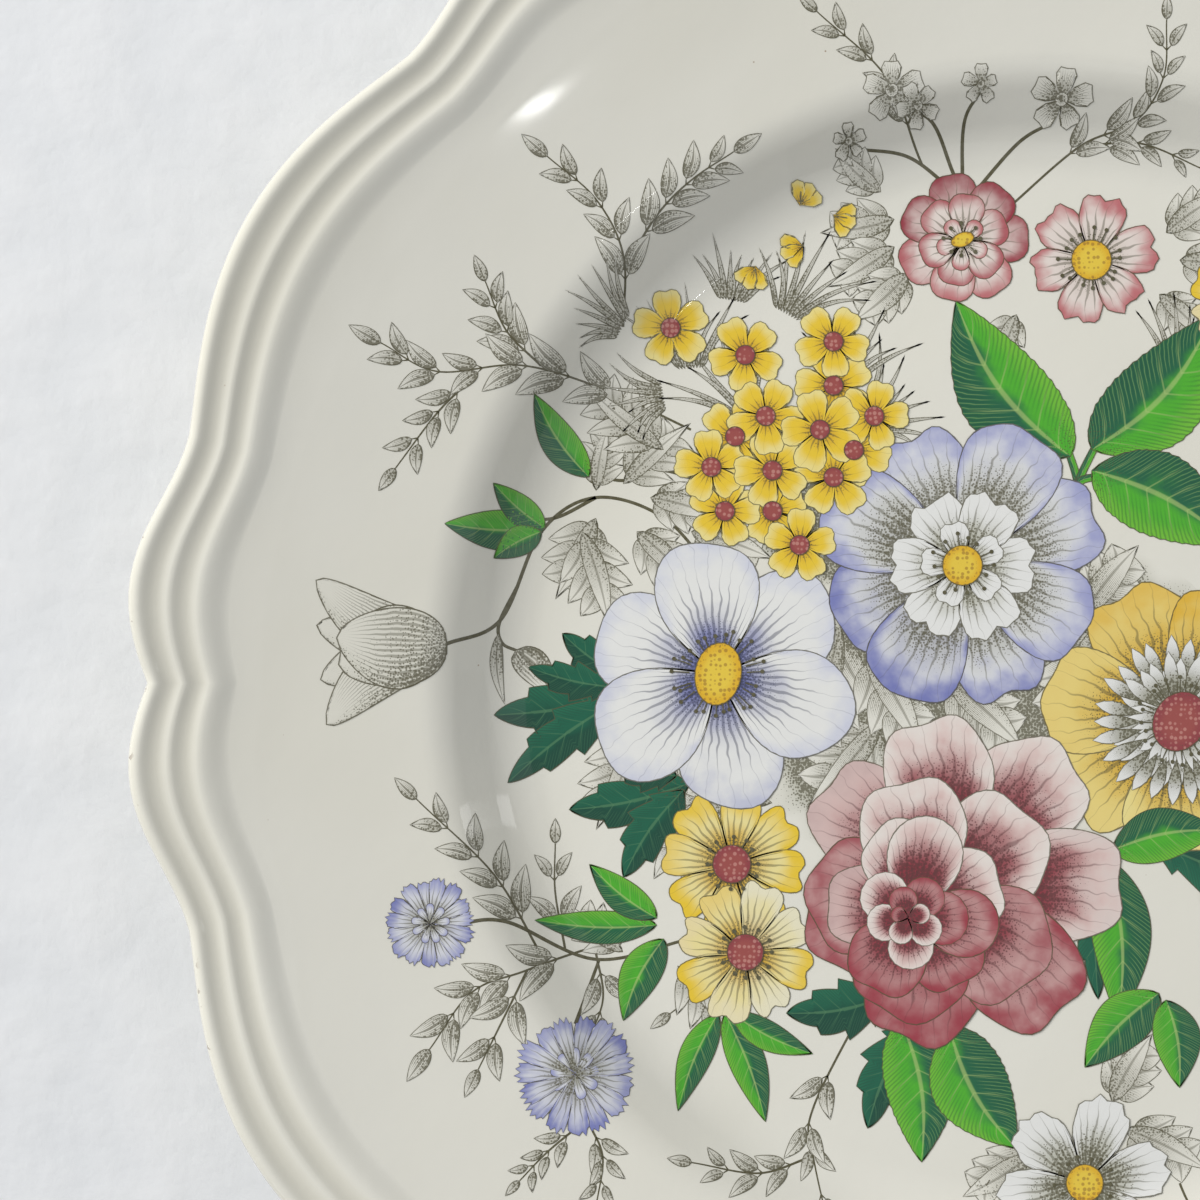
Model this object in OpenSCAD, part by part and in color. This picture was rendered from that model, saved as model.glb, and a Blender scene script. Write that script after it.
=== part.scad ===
// Dinner plate in glazed earthenware with a scalloped, moulded rim and a painted bouquet.
// Millimetres, +Z up. The origin is the centre of the circle that the foot ring stands on.

/* [Plate] */
// Diameter across the widest scallops
plate_d = 267; // [220:1:300]
// Height of the clay floor's top above the table
floor_z = 7.2; // [6:0.1:9]
// Thickness of the clay
clay_t = 4.2; // [3.4:0.1:5]
// Radius of the flat part of the well
floor_r = 74; // [70:0.5:76]
// Slope of the wall between well and rim
wall_angle = 38; // [30:1:44]
// Slope of the rim where it leaves the shoulder
rim_angle = 8; // [6:1:12]
// How fast the rim's slope grows outwards, as height for each square millimetre of run
rim_hollow = 0.0017; // [0:0.0001:0.002]

/* [Foot ring] */
// Outer radius where the foot ring meets the table
foot_r = 79.5; // [77:0.5:81]
// Width of the bare ring that touches the table
foot_land = 2.2; // [1.5:0.1:3]

/* [Moulded border] */
// Number of large scallops
scallops = 6; // [5:1:8]
// How far the edge comes in between the scallops
scallop_depth = 4.5; // [2:0.5:6]
// Depth of the two flutes between the three ridges
flute_depth = 0.55; // [0.2:0.05:0.8]
// Distance from one ridge to the next
flute_pitch = 4.2; // [3.6:0.1:4.6]
// How far the whole border stands above the plain rim
border_lift = 0.35; // [0:0.05:0.6]

/* [Coats] */
// Thickness of the glaze
glaze_t = 0.3; // [0.2:0.05:0.4]
// Thickness of the print and of the enamel colours
enamel_t = 0.1; // [0.1:0.05:0.2]

/* [Hidden] */
$fn = 180;

// Arcs of the face: concave at the foot of the wall, convex at the shoulder
well_arc_r = 14;
wall_run = 5;
shoulder_arc_r = 11;
arc_steps = 6;
rim_steps = 4;
well_centre = [floor_r, floor_z + well_arc_r];
wall_foot = well_centre + well_arc_r * [sin(wall_angle), -cos(wall_angle)];
wall_head = wall_foot + wall_run * [cos(wall_angle), sin(wall_angle)];
shoulder_centre = wall_head + shoulder_arc_r * [sin(wall_angle), -cos(wall_angle)];
shoulder = shoulder_centre + shoulder_arc_r * [-sin(rim_angle), cos(rim_angle)];

// The turned middle of the plate ends here and the scalloped border begins
join_r = plate_d / 2 - 18.5;
// Overlap and step that tie the two together
tuck = 0.2;
step = 0.06;
columns = 20 * scallops;

// Border: the ridges, the soft slope inside them and the rounded lip
edge_round = 1.4;
edge_half_t = 1.75;
edge_drop = edge_half_t - border_lift - flute_depth;
ridge_in = edge_round + 2 * flute_pitch;
border_fade = 4.4;
samples_per_flute = 3;
scallop_reach = 36;

recess_z = floor_z - clay_t;
artwork = plate_d / 267;

// ---- Sections ----

// The face of the plate, a distance t above the clay, from the centre out to the border
function face_line(t) = concat(
  [[0, floor_z + t]],
  [for (i = [0:arc_steps]) let (a = wall_angle * i / arc_steps)
    well_centre + (well_arc_r - t) * [sin(a), -cos(a)]],
  [for (i = [0:arc_steps]) let (a = wall_angle + (rim_angle - wall_angle) * i / arc_steps)
    shoulder_centre + (shoulder_arc_r + t) * [-sin(a), cos(a)]],
  [for (i = [1:rim_steps]) let (r = shoulder.x + (join_r - shoulder.x) * i / rim_steps)
    [r, rim_z(r, t)]]
);
function rim_z(r, t) = let (run = r - shoulder.x)
  shoulder.y + run * tan(rim_angle) + rim_hollow * run * run + t / cos(rim_angle);

// The back of the plate, a distance t below the face, from the border in to the foot ring
function back_line(t) = [for (p = reverse(face_line(-t))) if (p.x > foot_r + 2) p];
function reverse(list) = [for (i = [len(list) - 1:-1:0]) list[i]];

// The foot ring's walls at height z
function foot_outer(z) = foot_r + 0.4 * z;
function foot_inner(z) = foot_r - foot_land - 0.45 * z;

// ---- Scalloped border ----

// 1 on the crest of a large scallop, 0 at the low points beside it, with a notch between
// two small lobes in the middle of each dip
function lobe(a) = let (
    period = 360 / scallops,
    turn = a - period * floor(a / period),
    u = min(turn, period - turn) / (period / 2)
  )
  u < 0.2 ? 0.22 + 0.72 * sin(90 * u / 0.2)
  : u < 0.53 ? 0.47 * (1 + cos(180 * (u - 0.2) / 0.33))
  : pow(sin(90 * (u - 0.53) / 0.47), 1.2);

// Radius of a line that runs round the plate at this distance in from the edge
function border_r(inset, a) =
  plate_d / 2 - inset - scallop_depth * (1 - inset / scallop_reach) * (1 - lobe(a));

// Height of the border above the plain rim: sharp ridges with hollow flutes between
function relief(inset) = inset < ridge_in
  ? border_lift + flute_depth * (1 - abs(sin(180 * (inset - edge_round) / flute_pitch)))
  : (border_lift + flute_depth) * (1 + cos(180 * min(1, (inset - ridge_in) / border_fade))) / 2;

function border_point(inset, z, a) = let (r = border_r(inset, a)) [r, rim_z(r, 0) + z];

// One upright cut through the border, from the face round the lip to the back
function border_line(a) = concat(
  [[join_r + tuck, rim_z(join_r + tuck, 0) - step]],
  [for (inset = [ridge_in + 0.7 * border_fade, ridge_in + 0.35 * border_fade])
    border_point(inset, relief(inset), a)],
  [for (i = [0:2 * samples_per_flute]) let (inset = ridge_in - i * flute_pitch / samples_per_flute)
    border_point(inset, relief(inset), a)],
  [for (tilt = [45:-45:-90])
    border_point(edge_round * (1 - cos(tilt)), edge_half_t * sin(tilt) - edge_drop, a)],
  [border_point(6, 0.2 - clay_t, a)],
  [[join_r + tuck, rim_z(join_r + tuck, -clay_t) + step]]
);

// The same line moved outwards by t
function puffed(line, t) = [for (i = [0:len(line) - 1]) let (
    before = line[max(0, i - 1)],
    after = line[min(len(line) - 1, i + 1)],
    d = (after - before) / norm(after - before)
  ) line[i] + t * [-d.y, d.x]];

// Closed sections of the clay border and of the glaze that wraps it
function clay_section(a) = concat(
  [[join_r - tuck, rim_z(join_r - tuck, 0) - step]],
  border_line(a),
  [[join_r - tuck, rim_z(join_r - tuck, -clay_t) + step]]
);
function glaze_section(a) = let (line = border_line(a), r = join_r - tuck / 2) concat(
  [[r, rim_z(r, 0) + glaze_t - step]],
  puffed(line, glaze_t),
  [[r, rim_z(r, -clay_t) - glaze_t + step]],
  [[r, rim_z(r, -clay_t) - glaze_t / 2]],
  reverse(line),
  [[r, rim_z(r, 0) + glaze_t / 2]]
);

// Sweeps closed sections round the plate. Rows from flip on are cut along their other diagonal,
// so that two coats that share a surface share its triangles too.
module ring_of(sections, flip) {
  cols = len(sections);
  rows = len(sections[0]);
  points = [for (i = [0:cols - 1]) for (p = sections[i]) let (a = 360 * i / cols)
    [p.x * cos(a), p.x * sin(a), p.y]];
  faces = [for (i = [0:cols - 1]) for (j = [0:rows - 1]) let (
      a = i * rows + j,
      b = i * rows + (j + 1) % rows,
      c = ((i + 1) % cols) * rows + (j + 1) % rows,
      d = ((i + 1) % cols) * rows + j
    ) each (j < flip ? [[a, d, c], [a, c, b]] : [[a, d, b], [b, d, c]])];
  polyhedron(points, faces, convexity = 6);
}

function all_round() = [for (i = [0:columns - 1]) 360 * i / columns];

// ---- Body and glaze ----

module earthenware_body() {
  color([0.87, 0.84, 0.77]) {
    ring_of([for (a = all_round()) clay_section(a)], 100);
    rotate_extrude() polygon(concat(
      face_line(0),
      back_line(clay_t),
      [
        [foot_outer(5.2), 5.2],
        [foot_outer(0.5), 0.5],
        [foot_r - 0.3, 0],
        [foot_r - foot_land, 0],
        [foot_inner(0.5), 0.5],
        [foot_inner(recess_z), recess_z],
        [0, recess_z]
      ]
    ));
  }
}

module outer_glaze() {
  color([0.95, 0.94, 0.88]) {
    rows_out = len(border_line(0)) + 2;
    ring_of([for (a = all_round()) glaze_section(a)], rows_out);
    rotate_extrude() polygon(concat(face_line(glaze_t), reverse(face_line(0))));
    rotate_extrude() polygon(concat(
      back_line(clay_t),
      [[foot_outer(5.2), 5.2], [foot_outer(1.2), 1.2]],
      [[foot_outer(1.2) + glaze_t, 1.2], [foot_outer(5.2) + glaze_t, 5.2 - glaze_t / 2]],
      reverse(back_line(clay_t + glaze_t))
    ));
  }
}

module footwell_glaze() {
  color([0.93, 0.91, 0.85])
    rotate_extrude() polygon([
      [0, recess_z],
      [foot_inner(recess_z), recess_z],
      [foot_inner(1.2), 1.2],
      [foot_inner(1.2) - glaze_t, 1.2],
      [foot_inner(recess_z) - 1.5 * glaze_t, recess_z - glaze_t],
      [0, recess_z - glaze_t]
    ]);
}

// ---- Flat outlines of the flowers and leaves ----

// A blossom with rounded petals: cleft is how deep the gaps between petals go, 0 to 1
module blossom(at, r, petals, turn = 0, cleft = 0.16, points_per_petal = 8) {
  n = petals * points_per_petal;
  translate(at) rotate(turn) polygon([for (i = [0:n - 1]) let (
      a = 360 * i / n,
      reach = r * (1 - cleft * (1 - sqrt(abs(sin(petals * a / 2)))))
    ) reach * [cos(a), sin(a)]]);
}

// A pointed leaf from its base to its tip, bent sideways by bow
module leaf(base, tip, width, bow = 0, steps = 7) {
  along = tip - base;
  side = [-along.y, along.x] / norm(along);
  edge = [for (s = [-1, 1]) for (i = [0:steps]) let (
      t = s < 0 ? i / steps : 1 - i / steps,
      half = s * width / 2 * pow(sin(180 * pow(t, 0.8)), 0.9)
    ) if (t > 0 && t < 1) base + t * along + (half + bow * sin(180 * t)) * side];
  polygon(concat([base], [for (i = [0:steps - 2]) edge[i]], [tip],
    [for (i = [steps - 1:len(edge) - 1]) edge[i]]));
}

// A sprig: a stem with pairs of small leaves and one at the tip
module sprig(at, end, pairs = 3, width = 2.8) {
  length = norm(end - at);
  translate(at) rotate(atan2(end.y - at.y, end.x - at.x)) {
    translate([0, -0.3]) square([length * 0.8, 0.6]);
    leaf([length * 0.72, 0], [length, 0], width, steps = 4);
    for (i = [1:pairs]) {
      x = length * 0.75 * i / (pairs + 0.6);
      reach = 7.5 - i;
      leaf([x, 0.1], [x + 0.7 * reach, 0.75 * reach], width, steps = 4);
      leaf([x + 1, -0.1], [x + 1 + 0.7 * reach, -0.75 * reach], width, steps = 4);
    }
  }
}

// ---- The bouquet ----

// Each bloom is [x, y, radius, petals, turn]
pink_blooms = [
  [-13, -29, 24.5, 7, 8], [44, -42, 12.8, 7, 60], [-12, 65, 9.8, 8, 0], [7, 62, 10, 6, 15]
];
blue_blooms = [
  [-12, 17, 22, 8, 20], [50, 34, 12.8, 8, 5], [-90, -35, 6.3, 12, 0], [-69, -57, 8.3, 12, 10],
  [84, -14, 6.3, 12, 0]
];
white_blooms = [[-48, 1, 20, 6, 38], [6, -74, 12.8, 6, 15], [58, -8, 11.8, 6, 0]];
poppies = [[20, -6, 21, 7, 12]];
daisies = [[-46, -27, 11.3, 9, 0], [-44, -40, 10.8, 9, 9], [30, 56, 8.8, 9, 0]];
primroses = [
  [-55, 52, 6, 5, 0], [-44, 48, 6, 5, 30], [-31, 50, 6, 5, 50], [-47, 25, 6, 5, 10],
  [-36, 20, 6, 5, 20], [-49, 31.5, 6, 5, 45], [-31, 30, 6, 5, 5], [-40, 31, 6, 5, 25],
  [-25, 39, 6, 5, 15], [-41, 39, 6, 5, 35], [-33, 37, 6, 5, 0]
];
buds = [[-36, 71, 2], [-30, 69, 2], [-43, 60, 2], [-36, 63, 2]];

// Each leaf is [base x, base y, tip x, tip y, width, bow]
green_leaves = [
  [4, 33, -13, 56, 14, 2.5], [7, 34, 25, 54, 14, -2.5], [7, 31, 28, 20, 13, 1.5],
  [-67, 30, -75, 42, 5.5, 0.8], [-73.5, 22.5, -88, 23, 6, 0.6], [-74, 22, -81, 29, 4.5, 0.4],
  [-74, 22, -81, 18, 4.5, -0.4], [-60, -1, -81, -5, 10, 1], [-60, 0, -71, 7, 7, 0.8],
  [-61, -2, -79, -15, 8, -0.8], [-52, -15, -70, -19, 9, 0.8], [-53, -16, -62, -29, 8, -0.8],
  [-57, -36, -75, -35, 5, 0.8], [-57, -35, -67, -27, 5, 0.6], [-56, -38, -62, -50, 6, -0.8],
  [-48, -49, -54, -63, 5, -0.6], [-47, -49, -41, -65, 5.5, 0.6], [-46, -49, -34, -55, 4.5, -0.6],
  [-22, -46, -38, -49, 9, 1], [-18, -50, -26, -66, 9, -1.2], [-21, -50, -18, -71, 11, 1.5],
  [-14, -51, -4, -69, 12, -1.5], [9, -26, 11, -50, 9, 1.5], [17, -46, 6, -57, 8, -0.8],
  [18, -47, 20, -60, 7, 0.8], [16, -24, 34, -33, 8, 0.8], [40, 8, 58, 15, 10, 1.2],
  [56, -22, 72, -28, 9, 1], [50, -50, 62, -64, 9, 1], [36, -48, 34, -62, 8, 1],
  [62, 32, 77, 27, 9, 1], [56, 46, 66, 60, 9, -1], [34, 44, 44, 56, 9, 1],
  [60, 8, 74, 10, 8, 0.8]
];

// Each sprig is [start x, start y, tip x, tip y]
sepia_sprigs = [
  [-62, 56, -73, 76], [-60, 62, -46, 77], [-56, 38, -76, 46], [-76, 46, -98, 48],
  [-84, 44, -95, 31], [-75, -38, -92, -17], [-64, -38, -86, -52], [-66, -42, -68, -55],
  [-68, -64, -78, -72], [-66, -64, -66, -76], [-32, -58, -31, -84], [-34, -70, -52, -70],
  [-19, 76, -34, 97], [3, 74, 16, 96], [36, 64, 48, 88], [56, 52, 76, 72], [66, 31, 94, 40],
  [72, 8, 98, 16], [70, -18, 97, -16], [62, -48, 86, -58], [46, -62, 62, -82],
  [20, -76, 18, -99], [-5, -82, -4, -100]
];
// Broad bare leaves and the petals of the one flower that was never coloured
broad_prints = [
  [-66, 28, -64, 38, 5], [-66, 24, -72, 12, 6], [-24, 72, -31, 78, 6], [-22, 64, -33, 60, 7],
  [18, 66, 27, 72, 7], [18, 58, 24, 50, 6], [12, -66, 24, -72, 8], [36, 20, 30, 30, 8],
  [-88, 4, -108, 15, 8], [-88, 4, -107, 6, 8], [-88, 4, -105, -4, 8], [-88, 4, -100, -9, 7]
];

module blooms(list, cleft = 0.16) {
  for (b = list) blossom([b[0], b[1]], b[2], b[3], b[4], cleft);
}
module hearts(list, share) {
  for (b = list) translate([b[0], b[1]]) circle(b[2] * share);
}
module yellow_hearts() {
  hearts(pink_blooms, 0.2);
  hearts(blue_blooms, 0.17);
  hearts(white_blooms, 0.18);
}
module crimson_hearts() {
  hearts(poppies, 0.2);
  hearts(daisies, 0.32);
  hearts(primroses, 0.26);
}
module all_blooms() {
  blooms(pink_blooms);
  blooms(blue_blooms);
  blooms(white_blooms);
  blooms(poppies);
  blooms(daisies, 0.14);
  blooms(primroses, 0.35);
  hearts(buds, 1);
}
module all_leaves() {
  for (l = green_leaves) leaf([l[0], l[1]], [l[2], l[3]], l[4], l[5]);
}
module all_sprigs() {
  for (s = sepia_sprigs) sprig([s[0], s[1]], [s[2], s[3]]);
  for (l = broad_prints) leaf([l[0], l[1]], [l[2], l[3]], l[4], 0.5);
}

// A coat of colour in this outline, lying on the glaze over floor, wall and rim
module fired_on() {
  intersection() {
    rotate_extrude() intersection() {
      polygon(concat(face_line(glaze_t + enamel_t), reverse(face_line(glaze_t))));
      square([join_r - 1, 2 * plate_d]);
    }
    linear_extrude(plate_d / 4) scale(artwork) children();
  }
}

module crimson_enamel() {
  color([0.55, 0.16, 0.18]) fired_on() crimson_hearts();
}
module pink_enamel() {
  color([0.84, 0.50, 0.52]) fired_on() difference() {
    blooms(pink_blooms);
    yellow_hearts();
    crimson_hearts();
  }
}
module blue_enamel() {
  color([0.56, 0.58, 0.80]) fired_on() difference() {
    blooms(blue_blooms);
    blooms(pink_blooms);
    yellow_hearts();
  }
}
module white_enamel() {
  color([0.95, 0.95, 0.96]) fired_on() difference() {
    blooms(white_blooms);
    blooms(pink_blooms);
    blooms(blue_blooms);
    yellow_hearts();
  }
}
module yellow_enamel() {
  color([0.93, 0.80, 0.28]) fired_on() union() {
    yellow_hearts();
    hearts(buds, 1);
    difference() {
      union() {
        blooms(poppies);
        blooms(daisies, 0.14);
        blooms(primroses, 0.35);
      }
      blooms(pink_blooms);
      blooms(blue_blooms);
      blooms(white_blooms);
      crimson_hearts();
    }
  }
}
module green_enamel() {
  color([0.35, 0.58, 0.30]) fired_on() difference() {
    all_leaves();
    all_blooms();
  }
}
module sepia_print() {
  color([0.42, 0.38, 0.26]) fired_on() difference() {
    all_sprigs();
    all_leaves();
    all_blooms();
  }
}

earthenware_body();
outer_glaze();
footwell_glaze();
sepia_print();
green_enamel();
pink_enamel();
yellow_enamel();
blue_enamel();
white_enamel();
crimson_enamel();
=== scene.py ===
# %% [markdown]
# # A painted dinner plate
#
# The plate is one clay body with coats fired onto it: a clear glaze, a printed outline in sepia
# and enamel colours laid on by hand. The frame holds those coats as thin solids. This lesson
# makes the surfaces that are seen: a turned and scalloped glaze, and a bouquet of small flat
# patches that lie on it like transfers.

import math
import random

import bmesh
import bpy
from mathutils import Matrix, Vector


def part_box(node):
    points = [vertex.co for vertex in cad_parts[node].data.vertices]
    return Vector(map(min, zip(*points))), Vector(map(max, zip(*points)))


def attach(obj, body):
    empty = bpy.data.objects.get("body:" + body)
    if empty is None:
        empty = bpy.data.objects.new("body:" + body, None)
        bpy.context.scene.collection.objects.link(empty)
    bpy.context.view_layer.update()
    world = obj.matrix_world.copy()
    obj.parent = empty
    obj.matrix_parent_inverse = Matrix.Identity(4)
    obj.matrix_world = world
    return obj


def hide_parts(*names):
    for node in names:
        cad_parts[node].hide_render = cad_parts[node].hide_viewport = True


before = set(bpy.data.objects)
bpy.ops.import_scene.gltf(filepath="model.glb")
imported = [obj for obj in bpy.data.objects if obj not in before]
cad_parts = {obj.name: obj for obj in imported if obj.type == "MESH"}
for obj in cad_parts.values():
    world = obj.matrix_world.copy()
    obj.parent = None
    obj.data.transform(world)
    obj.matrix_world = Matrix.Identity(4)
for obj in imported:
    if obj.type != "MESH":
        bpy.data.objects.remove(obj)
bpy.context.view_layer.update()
MM = 0.001
print("pieces in the frame:", sorted(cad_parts))

# %% [markdown]
# ## The section of the plate
#
# A plate is thrown or pressed on a wheel, so one upright cut through it says nearly everything.
# The cut is a flat floor, a hollow curve up the wall, a rounded shoulder and a straight rim. The
# border then carries three ridges with two flutes between them. All lengths here are millimetres
# until a piece is finished.

# %% Sizes of the section
FLOOR_Z, CLAY_T, GLAZE_T = 7.2, 4.2, 0.3
FLOOR_R, WELL_ARC, WALL_RUN, SHOULDER_ARC = 74.0, 14.0, 5.0, 11.0
WALL_ANGLE, RIM_ANGLE, RIM_HOLLOW = math.radians(38), math.radians(8), 0.0017
FOOT_R, FOOT_LAND, FOOT_TOP, FOOT_BEVEL = 79.5, 2.2, 5.2, 0.3
FOOT_LEAN_OUT, FOOT_LEAN_IN, BACK_GAP = 0.4, 0.45, 2.0
BEVEL_TOP, GLAZE_STOP, WORN_WIDTH = 0.5, 1.2, 1.1
SCALLOPS, SCALLOP_DEPTH, SCALLOP_REACH = 6, 4.5, 36.0
FLUTE_DEPTH, FLUTE_PITCH, BORDER_LIFT, BORDER_FADE = 0.55, 4.2, 0.35, 4.4
EDGE_ROUND, EDGE_HALF_T = 1.4, 1.75
RIDGE_IN = EDGE_ROUND + 2 * FLUTE_PITCH
CREST_SOFTNESS = 0.014
BORDER_WIDTH, BLEND_RUN, LIP_TUCK = 18.3, 5.4, 6.0

low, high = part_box("earthenware_body")
PLATE_R = (high.y - low.y) / 2 / MM
BORDER_R = PLATE_R - BORDER_WIDTH
print("plate radius from the frame:", round(PLATE_R, 2), "mm")


# %% The line of the face
def spot(centre, radius, angle):
    """A point on an arc; angle 0 is straight down and turns outwards."""
    return (centre[0] + radius * math.sin(angle), centre[1] - radius * math.cos(angle))


WELL_CENTRE = (FLOOR_R, FLOOR_Z + WELL_ARC)
WALL_FOOT = spot(WELL_CENTRE, WELL_ARC, WALL_ANGLE)
WALL_HEAD = (
    WALL_FOOT[0] + WALL_RUN * math.cos(WALL_ANGLE),
    WALL_FOOT[1] + WALL_RUN * math.sin(WALL_ANGLE),
)
SHOULDER_CENTRE = spot(WALL_HEAD, SHOULDER_ARC, WALL_ANGLE)
SHOULDER = spot(SHOULDER_CENTRE, -SHOULDER_ARC, RIM_ANGLE)


def rim_z(r, t=0.0):
    """Height of the plain rim at radius r, a distance t above the clay. It steepens outwards."""
    run = r - SHOULDER[0]
    return SHOULDER[1] + run * math.tan(RIM_ANGLE) + RIM_HOLLOW * run**2 + t / math.cos(RIM_ANGLE)


def face_line(t, steps=16):
    """The face a distance t above the clay, from the centre out to the border."""
    floor = [(r, FLOOR_Z + t) for r in (0, 24, 48)]
    well = [spot(WELL_CENTRE, WELL_ARC - t, WALL_ANGLE * i / steps) for i in range(steps + 1)]
    turns = [WALL_ANGLE + (RIM_ANGLE - WALL_ANGLE) * i / steps for i in range(steps + 1)]
    shoulder = [spot(SHOULDER_CENTRE, -SHOULDER_ARC - t, turn) for turn in turns]
    rim_steps = 12
    rim_run = BORDER_R - SHOULDER[0]
    rim = [SHOULDER[0] + rim_run * i / rim_steps for i in range(1, rim_steps)]
    return floor + well + shoulder + [(r, rim_z(r, t)) for r in rim]


FACE = face_line(GLAZE_T) + [(r, rim_z(r, GLAZE_T)) for r in (BORDER_R, PLATE_R)]


def face_z(r):
    """Height of the glazed face at radius r, read along its line."""
    for (r0, z0), (r1, z1) in zip(FACE, FACE[1:]):
        if r <= r1:
            return z0 + (z1 - z0) * (r - r0) / (r1 - r0)
    return FACE[-1][1]


print("the face rises", round(face_z(BORDER_R) - face_z(0), 1), "mm from floor to border")


# %% [markdown]
# ## The moulded border
#
# The border is drawn as if the plate were round, at its widest, and pushed in afterwards where
# the scallops dip. Seen across, each flute is a hollow and each ridge a narrow crest that the
# glaze has rounded. The lip itself is half an ellipse.


# %% Ridges, flutes and lip
def relief(inset):
    """How far the border stands above the plain rim, this far in from the edge."""
    if inset < RIDGE_IN:
        wave = math.sin(math.pi * (inset - EDGE_ROUND) / FLUTE_PITCH)
        return BORDER_LIFT + FLUTE_DEPTH * (1 - math.sqrt(wave * wave + CREST_SOFTNESS))
    fade = min(1, (inset - RIDGE_IN) / BORDER_FADE)
    crest = BORDER_LIFT + FLUTE_DEPTH * (1 - math.sqrt(CREST_SOFTNESS))
    return crest * (1 + math.cos(math.pi * fade)) / 2


def border_line():
    """The border on the clay, from the plain rim over the ridges and round the lip."""
    samples, fade_steps = 10, 8
    insets = [RIDGE_IN + BORDER_FADE * (1 - i / fade_steps) for i in range(fade_steps)]
    insets += [RIDGE_IN - FLUTE_PITCH * i / samples for i in range(2 * samples + 1)]
    top = [(PLATE_R - i, rim_z(PLATE_R - i) + relief(i)) for i in insets]
    drop = EDGE_HALF_T - BORDER_LIFT - FLUTE_DEPTH
    lip = []
    for tilt in range(75, -91, -15):
        inset = EDGE_ROUND * (1 - math.cos(math.radians(tilt)))
        z = EDGE_HALF_T * math.sin(math.radians(tilt)) - drop
        lip.append((PLATE_R - inset, rim_z(PLATE_R - inset) + z))
    thinning = 0.2
    under = (PLATE_R - LIP_TUCK, rim_z(PLATE_R - LIP_TUCK) + thinning - CLAY_T)
    return top + lip + [under, (BORDER_R, rim_z(BORDER_R, -CLAY_T))]


BORDER = border_line()
print("the border's crests stand", round(relief(RIDGE_IN), 2), "mm above the plain rim")


# %% Back and foot ring
def puffed(line, t):
    """The line moved outwards by t, as a coat of that thickness covers it."""
    out = []
    for i, (x, z) in enumerate(line):
        x0, z0 = line[max(0, i - 1)]
        x1, z1 = line[min(len(line) - 1, i + 1)]
        run = math.hypot(x1 - x0, z1 - z0)
        out.append((x - t * (z1 - z0) / run, z + t * (x1 - x0) / run))
    return out


def back_line(t):
    """The back a distance t below the face, from the border in to the foot ring."""
    return [p for p in reversed(face_line(-t)) if p[0] > FOOT_R + BACK_GAP]


def foot_outer(z):
    return FOOT_R + FOOT_LEAN_OUT * z


def foot_inner(z):
    return FOOT_R - FOOT_LAND - FOOT_LEAN_IN * z


print("the foot ring is", 2 * foot_outer(0), "mm across")


# %% Scallops
def lobe(angle):
    """1 on the crest of a large scallop, 0 at its foot, with a notch between two small lobes."""
    period = 2 * math.pi / SCALLOPS
    turn = angle % period
    u = min(turn, period - turn) / (period / 2)
    small_end, foot, notch, small_crest = 0.2, 0.53, 0.22, 0.94
    if u < small_end:
        return notch + (small_crest - notch) * math.sin(math.pi / 2 * u / small_end)
    if u < foot:
        return small_crest / 2 * (1 + math.cos(math.pi * (u - small_end) / (foot - small_end)))
    return math.sin(math.pi / 2 * (u - foot) / (1 - foot)) ** 1.2


print(SCALLOPS, "large scallops, up to", SCALLOP_DEPTH, "mm deep")


# %% [markdown]
# ## Turning and scalloping
#
# The section is a chain of a few vertices, and a full spin makes the plate of it, as a jigger
# does. The scallops are then pushed in by moving vertices: each one slides in towards the middle
# by its share of the scallop's depth, and down the slope of the rim as it goes.


# %% From a section to a piece
def turned(section, columns):
    """Spins a chain of (radius, height) points into a closed shape."""
    bm = bmesh.new()
    chain = [bm.verts.new((r, 0, z)) for r, z in section]
    links = [bm.edges.new(pair) for pair in zip(chain, chain[1:])]
    bmesh.ops.spin(
        bm, geom=chain + links, cent=(0, 0, 0), axis=(0, 0, 1), dvec=(0, 0, 0),
        angle=2 * math.pi, steps=columns, use_merge=True, use_duplicate=False,
    )
    bmesh.ops.remove_doubles(bm, verts=bm.verts, dist=0.0005)
    return bm


def scallop(bm):
    """Pushes the border in between the scallops."""
    for v in bm.verts:
        r = math.hypot(v.co.x, v.co.y)
        inset = PLATE_R - r
        if r < BORDER_R:
            continue
        share = 1 - max(0, inset) / SCALLOP_REACH
        blend = min(1, (r - BORDER_R) / BLEND_RUN)
        blend = blend * blend * (3 - 2 * blend)
        push = SCALLOP_DEPTH * share * blend * (1 - lobe(math.atan2(v.co.y, v.co.x)))
        v.co.x *= (r - push) / r
        v.co.y *= (r - push) / r
        v.co.z += rim_z(r - push) - rim_z(r)


def finished(bm, name, paint, slot_name, *nodes, sharp=None):
    """Makes the bmesh a piece: its size in metres, its paint and its body, and hides the frame's
    nodes that it stands for.
    """
    bmesh.ops.scale(bm, vec=(MM, MM, MM), verts=bm.verts)
    mesh = bpy.data.meshes.new(name)
    for face in bm.faces:
        face.smooth = True
    bm.to_mesh(mesh)
    bm.free()
    if sharp:
        mesh.set_sharp_from_angle(angle=math.radians(sharp))
    mesh.materials.append(paint)
    piece = bpy.data.objects.new(name, mesh)
    bpy.context.scene.collection.objects.link(piece)
    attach(piece, "root")
    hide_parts(*nodes)
    print(name, "has", sum(len(p.vertices) - 2 for p in mesh.polygons), "triangles")
    return piece


# %% [markdown]
# ## Shader maths as plain expressions
#
# A finish is a small recipe of masks and mixes. One class wraps a socket so that the recipe
# reads as arithmetic, and one method adds every other kind of node.


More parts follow.
